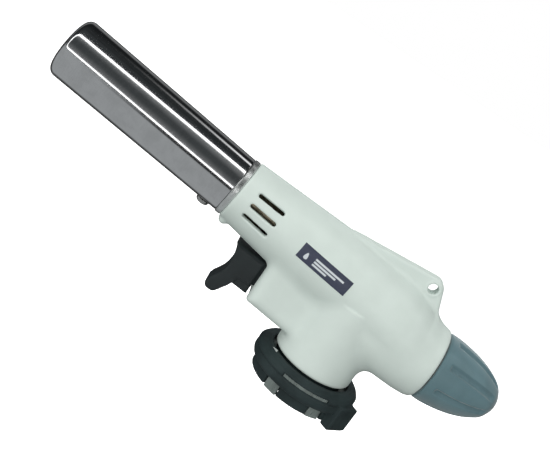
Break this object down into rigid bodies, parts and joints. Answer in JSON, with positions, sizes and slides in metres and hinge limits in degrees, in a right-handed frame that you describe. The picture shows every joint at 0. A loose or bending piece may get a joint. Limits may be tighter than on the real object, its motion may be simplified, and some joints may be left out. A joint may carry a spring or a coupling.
{
  "type": "butane torch",
  "caption": "Hand-held butane torch head for a gas cartridge: long steel flame tube, two-part case, finger trigger, flame knob and twist-lock collar.",
  "frame": {"origin": "centre of the gas inlet's mouth, on the axis of the cartridge collar", "axes": "-Z out of the collar towards the cartridge, +X towards the flame knob, so the muzzle points to -X and slightly up; the label is on the -Y side"},
  "size_m": [0.179, 0.0384, 0.0667],
  "materials": {
    "case_white": "satin moulded",
    "label_print": "printed",
    "polished_steel": "polished",
    "satin_steel": "satin",
    "brass": "machined",
    "black_plastic": "satin moulded",
    "knob_grey": "satin moulded",
    "rubber": "matte",
    "ceramic": "glazed ceramic",
    "mark_white": "paint",
    "igniter_plastic": "moulded",
    "lead_sleeve": "silicone",
    "filter_bronze": "sintered"
  },
  "bodies": {
    "torch_body": {"left_shell": "case_white", "right_shell": "case_white", "case_screws": "satin_steel", "label_plate": "label_print", "flame_tube": "polished_steel", "tube_base_ring": "satin_steel", "tube_screw": "satin_steel", "burner_head": "brass", "flame_holder": "satin_steel", "mixing_tube": "brass", "jet_carrier": "brass", "gas_jet": "brass", "electrode": "satin_steel", "electrode_ceramic": "ceramic", "valve_body": "brass", "inlet_filter": "filter_bronze", "can_gasket": "rubber", "cartridge_seat": "black_plastic", "gland_nut": "brass", "piezo_body": "igniter_plastic", "piezo_spring": "satin_steel", "ignition_lead": "lead_sleeve"},
    "trigger": {"trigger": "black_plastic", "piezo_plunger": "igniter_plastic"},
    "spindle": {"valve_spindle": "brass", "spindle_oring": "rubber"},
    "knob": {"knob": "knob_grey"},
    "lock_ring": {"lock_ring": "black_plastic", "claw_plate": "satin_steel", "lock_mark": "mark_white"}
  },
  "joints": [
    {"name": "trigger_pull", "type": "slide", "parent": "torch_body", "child": "trigger", "axis": [0.9927, 0, -0.1207], "range_m": [0, 0.005], "stiffness_N_per_m": 800, "springref_m": -0.002, "deforming": ["piezo_spring"]},
    {"name": "spindle_advance", "type": "slide", "parent": "torch_body", "child": "spindle", "axis": [1, 0, 0], "range_m": [0, 0.00122]},
    {"name": "knob_turn", "type": "hinge", "parent": "spindle", "child": "knob", "pos_m": [0.0321, 0, 0.0333], "axis": [1, 0, 0], "range_deg": [0, 540]},
    {"name": "lock_ring_turn", "type": "hinge", "parent": "torch_body", "child": "lock_ring", "pos_m": [0, 0, 0.0085], "axis": [0, 0, 1], "range_deg": [0, 30]}
  ],
  "couplings": [
    {"joint": "spindle_advance", "follows": "knob_turn", "m_per_rad": 0.00011937}
  ]
}
